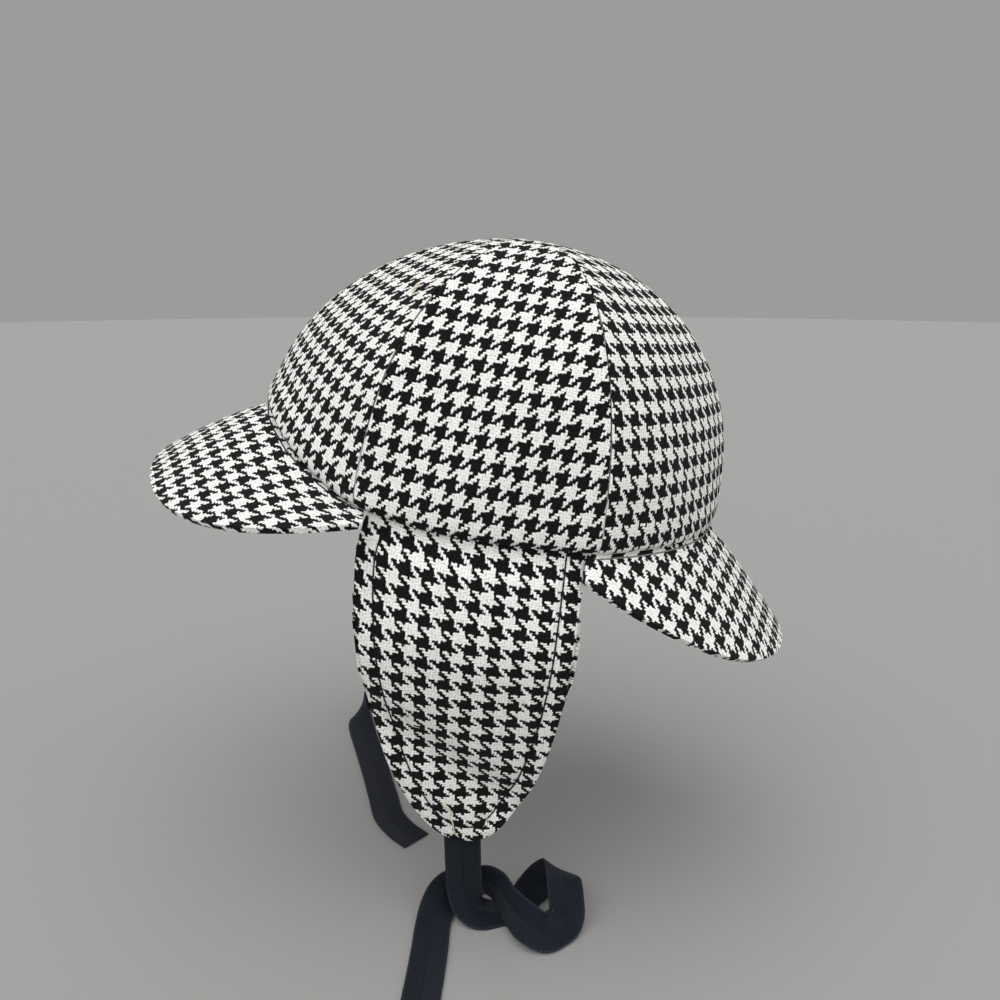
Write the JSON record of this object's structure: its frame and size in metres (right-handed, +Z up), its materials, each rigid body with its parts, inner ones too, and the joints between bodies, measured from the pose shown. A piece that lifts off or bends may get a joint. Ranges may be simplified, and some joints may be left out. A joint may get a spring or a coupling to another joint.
{
  "type": "deerstalker hat",
  "caption": "Soft hat with a panelled round crown, a front and a back peak, two hanging ear flaps and flat tape ties, in black and cream houndstooth cloth.",
  "frame": {"origin": "middle of the head opening, level with the crown's lower edge at the ears", "axes": "+Z up, +X towards the back of the hat, -Y towards the wearer's left; the hat is tilted back 8 degrees as worn, its front edge higher"},
  "size_m": [0.292, 0.2476, 0.2977],
  "materials": {
    "houndstooth_cloth": "matt woven wool, black and cream houndstooth check",
    "twill_tape": "matt black herringbone twill tape"
  },
  "bodies": {
    "root": {"crown_gore_front_left": "houndstooth_cloth", "crown_gore_left": "houndstooth_cloth", "crown_gore_back_left": "houndstooth_cloth", "crown_gore_back_right": "houndstooth_cloth", "crown_gore_right": "houndstooth_cloth", "crown_gore_front_right": "houndstooth_cloth", "front_peak": "houndstooth_cloth", "back_peak": "houndstooth_cloth", "left_ear_flap": "houndstooth_cloth", "right_ear_flap": "houndstooth_cloth", "left_tie": "twill_tape", "right_tie": "twill_tape"}
  },
  "joints": []
}
